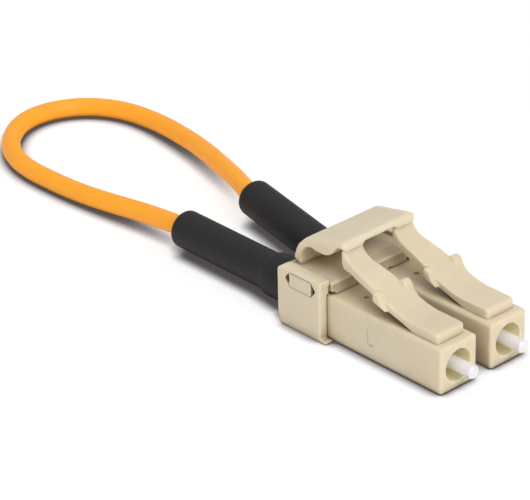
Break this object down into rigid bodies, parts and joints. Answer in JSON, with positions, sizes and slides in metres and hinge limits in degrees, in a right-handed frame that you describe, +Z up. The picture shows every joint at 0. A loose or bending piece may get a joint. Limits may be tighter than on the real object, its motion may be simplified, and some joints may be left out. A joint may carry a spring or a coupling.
{
  "type": "fibre loopback plug",
  "caption": "Duplex fibre plug pair in a clip with a press trigger, closed by a short loop of fibre cable that returns the signal.",
  "frame": {"origin": "middle of the clip's flat underside, where the plug lies on a table", "axes": "+X along the plugs towards the ferrules, +Y across from plug a to plug b, +Z up from the table through the latch arms"},
  "size_m": [0.0698, 0.0188, 0.0096],
  "materials": {
    "clip_plastic": "fine matte, cream",
    "plug_plastic": "satin, beige",
    "ceramic": "polished, white",
    "flange_metal": "satin",
    "guide_plastic": "milky",
    "spring_steel": "drawn wire",
    "crimp_metal": "satin",
    "sleeve_rubber": "soft, slightly shiny, black",
    "cable_jacket": "smooth satin, orange"
  },
  "bodies": {
    "clip": {"clip_base": "clip_plastic", "clip_cover": "clip_plastic", "housing_a": "plug_plastic", "housing_b": "plug_plastic", "backbone_a": "plug_plastic", "backbone_b": "plug_plastic", "crimp_a": "crimp_metal", "crimp_b": "crimp_metal", "sleeve_a": "sleeve_rubber", "sleeve_b": "sleeve_rubber", "spring_a": "spring_steel", "spring_b": "spring_steel", "fibre_loop": "cable_jacket"},
    "trigger": {"trigger": "clip_plastic"},
    "arm_a": {"latch_a": "plug_plastic"},
    "arm_b": {"latch_b": "plug_plastic"},
    "core_a": {"ferrule_a": "ceramic", "flange_a": "flange_metal", "guide_a": "guide_plastic"},
    "core_b": {"ferrule_b": "ceramic", "flange_b": "flange_metal", "guide_b": "guide_plastic"}
  },
  "joints": [
    {"name": "trigger_press", "type": "hinge", "parent": "clip", "child": "trigger", "pos_m": [-0.00165, 0, 0.00565], "axis": [0, 1, 0], "range_deg": [0, 8], "stiffness_Nm_per_rad": 0.004},
    {"name": "arm_a_flex", "type": "hinge", "parent": "clip", "child": "arm_a", "pos_m": [0.0125, -0.00313, 0.005], "axis": [0, -1, 0], "range_deg": [0, 6], "stiffness_Nm_per_rad": 0.004},
    {"name": "arm_b_flex", "type": "hinge", "parent": "clip", "child": "arm_b", "pos_m": [0.0125, 0.00313, 0.005], "axis": [0, -1, 0], "range_deg": [0, 6], "stiffness_Nm_per_rad": 0.004},
    {"name": "core_a_push", "type": "slide", "parent": "clip", "child": "core_a", "axis": [-1, 0, 0], "range_m": [0, 0.0005], "stiffness_N_per_m": 600, "springref_m": -0.0005, "deforming": ["spring_a"]},
    {"name": "core_b_push", "type": "slide", "parent": "clip", "child": "core_b", "axis": [-1, 0, 0], "range_m": [0, 0.0005], "stiffness_N_per_m": 600, "springref_m": -0.0005, "deforming": ["spring_b"]}
  ],
  "couplings": [
    {"joint": "arm_a_flex", "follows": "trigger_press", "ratio": 0.7},
    {"joint": "arm_b_flex", "follows": "trigger_press", "ratio": 0.7}
  ]
}
